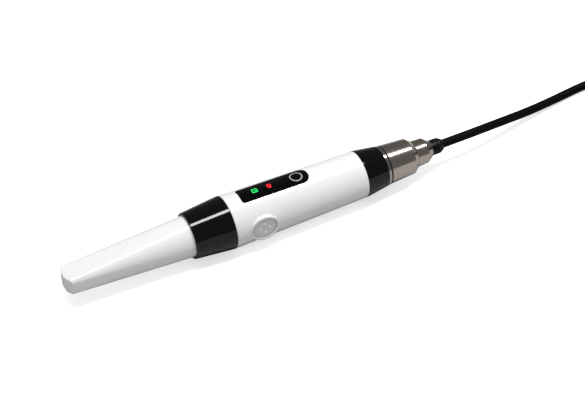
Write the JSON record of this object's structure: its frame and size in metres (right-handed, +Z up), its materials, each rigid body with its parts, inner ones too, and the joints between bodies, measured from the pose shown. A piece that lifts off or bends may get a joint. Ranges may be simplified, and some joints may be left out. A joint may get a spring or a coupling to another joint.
{
  "type": "intraoral camera",
  "caption": "Corded dental intraoral camera: blunt white nose with an underside window, black collars, tapered body with display and oval button, steel bayonet connector, cable with USB plug.",
  "frame": {"origin": "under the middle of the camera, on the surface that it lies on, the cable not counted", "axes": "+X along the camera from its tip to its cable, +Z up through the display, -Y towards the button"},
  "size_m": [0.4069, 0.0406, 0.0278],
  "materials": {
    "white_shell": "moulded, glossy white",
    "black_collar": "polished black",
    "display_black": "gloss black window",
    "clear_window": "clear, hard coated",
    "lens_glass": "coated optical glass",
    "black_inner": "matt black",
    "black_board": "black solder mask",
    "led_lens": "clear over phosphor",
    "green_board": "green solder mask",
    "chip_black": "moulded epoxy",
    "socket_white": "moulded",
    "chassis_grey": "moulded",
    "button_grey": "satin light grey",
    "print_grey": "printed",
    "green_light": "lit green",
    "red_light": "lit red",
    "silicone": "soft silicone",
    "black_seal": "black rubber",
    "black_rubber": "black moulded jacket",
    "amber_film": "polyimide film",
    "polished_steel": "polished",
    "satin_steel": "fine turned satin",
    "plain_steel": "plain",
    "brass": "gold plated",
    "tie_black": "hook and loop tape",
    "tongue_white": "moulded"
  },
  "bodies": {
    "camera": {"nose_shell": "white_shell", "body_shell": "white_shell", "front_collar": "black_collar", "rear_collar": "black_collar", "display_window": "display_black", "tip_window": "clear_window", "front_lens": "lens_glass", "rear_lens": "lens_glass", "lens_barrel": "black_inner", "optic_carrier": "black_inner", "light_barrier": "black_inner", "receptacle_insulator": "black_inner", "plug_insulator": "black_inner", "led_board": "black_board", "illumination_leds": "led_lens", "status_leds": "led_lens", "sensor_board": "green_board", "display_board": "green_board", "button_board": "green_board", "main_board": "green_board", "image_sensor": "chip_black", "image_processor": "chip_black", "memory_chip": "chip_black", "usb_controller": "chip_black", "tact_switch": "chip_black", "flex_socket": "socket_white", "wire_header": "socket_white", "chassis": "chassis_grey", "touch_ring": "print_grey", "green_light_guide": "green_light", "red_light_guide": "red_light", "touch_pad": "silicone", "button_return_pad": "silicone", "nose_o_ring": "black_seal", "collar_o_ring": "black_seal", "connector_gasket": "black_seal", "strain_relief": "black_rubber", "cable": "black_rubber", "cable_hank": "black_rubber", "cable_tail": "black_rubber", "usb_overmould": "black_rubber", "nose_flex_cable": "amber_film", "receptacle_shell": "polished_steel", "backshell": "satin_steel", "plug_shell": "satin_steel", "receptacle_nut": "plain_steel", "spring_washer": "plain_steel", "board_screws": "plain_steel", "usb_shell": "plain_steel", "contact_pins": "brass", "solder_cups": "brass", "cable_clamp": "brass", "cable_tie": "tie_black", "usb_tongue": "tongue_white"},
    "button": {"capture_button": "button_grey", "switch_plunger": "socket_white"},
    "ring": {"coupling_ring": "satin_steel"}
  },
  "joints": [
    {"name": "capture_press", "type": "slide", "parent": "camera", "child": "button", "axis": [0, 1, 0], "range_m": [0, 0.0006], "stiffness_N_per_m": 400, "springref_m": -0.0005},
    {"name": "ring_turn", "type": "hinge", "parent": "camera", "child": "ring", "pos_m": [0.07775, 0, 0.0139], "axis": [1, 0, 0], "range_deg": [0, 60]}
  ]
}
